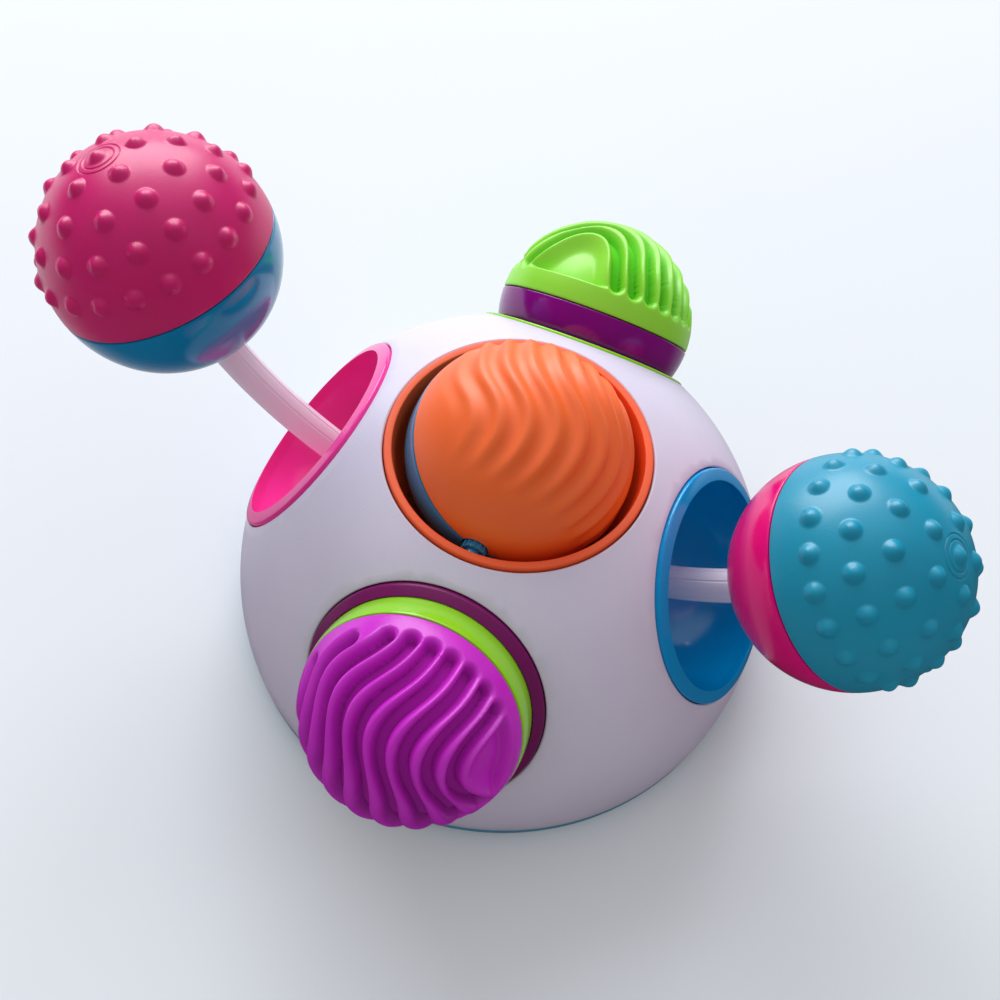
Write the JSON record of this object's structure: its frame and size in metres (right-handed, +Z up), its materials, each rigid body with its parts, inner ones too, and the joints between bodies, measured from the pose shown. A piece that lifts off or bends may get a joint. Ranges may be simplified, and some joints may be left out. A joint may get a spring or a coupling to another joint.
{
  "type": "baby activity ball",
  "caption": "White dome on a flat base with coloured cups that hold bumpy balls on a curved sliding arm, ridged twist knobs and a rolling ball on top.",
  "frame": {"origin": "centre of the base's flat underside", "axes": "+Z up out of the top cup; +X towards the blue cup, -X towards the pink cup, +Y towards the green cup, -Y towards the purple cup"},
  "size_m": [0.2373, 0.1846, 0.1318],
  "materials": {
    "shell_white": "satin",
    "base_teal": "satin",
    "cup_pink": "gloss",
    "cup_blue": "gloss",
    "cup_purple": "gloss",
    "cup_green": "gloss",
    "cup_orange": "satin",
    "rod_lilac": "satin",
    "soft_pink": "matte",
    "soft_blue": "matte",
    "soft_purple": "matte",
    "soft_green": "matte",
    "soft_orange": "matte",
    "hard_pink": "gloss",
    "hard_blue": "gloss",
    "hard_purple": "gloss",
    "hard_green": "gloss",
    "hard_teal": "gloss",
    "inner_white": "satin",
    "screw_steel": "satin"
  },
  "bodies": {
    "dome": {"dome_shell": "shell_white", "base_plate": "base_teal", "base_screw_1": "screw_steel", "base_screw_2": "screw_steel", "base_screw_3": "screw_steel", "base_screw_4": "screw_steel", "guide_screw_1": "screw_steel", "guide_screw_2": "screw_steel", "arm_guide": "inner_white", "cup_pink": "cup_pink", "cup_blue": "cup_blue", "cup_purple": "cup_purple", "cup_green": "cup_green", "cup_orange": "cup_orange", "purple_bush": "inner_white", "green_bush": "inner_white"},
    "arm": {"arm_rod": "rod_lilac", "pink_cap": "soft_pink", "pink_back": "hard_blue", "blue_cap": "soft_blue", "blue_back": "hard_pink"},
    "purple_knob": {"purple_cap": "soft_purple", "purple_back": "hard_green", "purple_spindle": "rod_lilac", "purple_clip": "screw_steel"},
    "green_knob": {"green_cap": "soft_green", "green_back": "hard_purple", "green_spindle": "rod_lilac", "green_clip": "screw_steel"},
    "orange_roller": {"orange_cap": "soft_orange", "orange_back": "hard_teal", "orange_axle": "hard_teal"}
  },
  "joints": [
    {"name": "arm_swing", "type": "hinge", "parent": "dome", "child": "arm", "pos_m": [0, 0, 0.12467], "axis": [0, 1, 0], "range_deg": [-31, 15]},
    {"name": "purple_twist", "type": "hinge", "parent": "dome", "child": "purple_knob", "pos_m": [0, -0.06251, 0.05054], "axis": [0, -0.831, 0.5563], "continuous": true},
    {"name": "green_twist", "type": "hinge", "parent": "dome", "child": "green_knob", "pos_m": [0, 0.06575, 0.05271], "axis": [0, 0.831, 0.5563], "continuous": true},
    {"name": "orange_roll", "type": "hinge", "parent": "dome", "child": "orange_roller", "pos_m": [0, 0, 0.07391], "axis": [0, 1, 0], "continuous": true}
  ]
}
